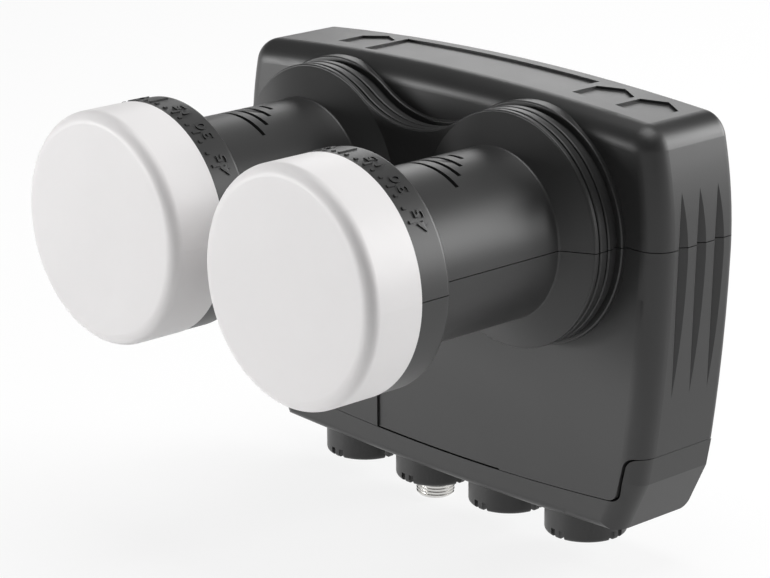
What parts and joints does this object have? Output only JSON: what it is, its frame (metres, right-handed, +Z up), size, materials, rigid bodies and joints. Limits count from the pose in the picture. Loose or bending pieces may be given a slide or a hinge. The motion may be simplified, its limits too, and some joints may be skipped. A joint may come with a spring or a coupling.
{
  "type": "satellite converter with two feeds",
  "caption": "Low-noise block converter for a satellite dish: round capped feeds on clamp necks in front of a flat moulded body with port collars and a threaded coaxial socket below.",
  "frame": {"origin": "midway between the two feed axes, in the plane of the flange's front face", "axes": "+X across the two feeds, +Y from the feeds back to the body, +Z up, the ports point down"},
  "size_m": [0.14, 0.101, 0.1111],
  "materials": {
    "cover_plastic": "dark grey moulded, satin",
    "cap_plastic": "white moulded, smooth",
    "cast_aluminium": "die cast",
    "seal_rubber": "moulded",
    "board_laminate": "coated laminate",
    "chip_epoxy": "moulded epoxy",
    "crystal_can": "nickel plated can",
    "choke_ferrite": "sintered",
    "capacitor_body": "fired ceramic",
    "socket_plating": "nickel plated",
    "socket_insulator": "moulded",
    "socket_contact": "plated spring bronze",
    "screw_steel": "zinc plated"
  },
  "bodies": {
    "root": {"upper_cover": "cover_plastic", "lower_cover": "cover_plastic", "bottom_cover": "cover_plastic", "left_feed_cap": "cap_plastic", "right_feed_cap": "cap_plastic", "f_connector_body": "socket_plating", "chassis": "cast_aluminium", "left_cap_seal": "seal_rubber", "right_cap_seal": "seal_rubber", "circuit_board": "board_laminate", "board_lid": "cast_aluminium", "lid_gasket": "seal_rubber", "lid_screws": "screw_steel", "f_connector_insulator": "socket_insulator", "f_connector_contact": "socket_contact", "f_connector_seal": "seal_rubber", "first_amplifiers": "chip_epoxy", "mixer_chips": "chip_epoxy", "switch_chip": "chip_epoxy", "reference_crystal": "crystal_can", "voltage_regulator": "chip_epoxy", "supply_choke": "choke_ferrite", "filter_capacitors": "capacitor_body"}
  },
  "joints": []
}
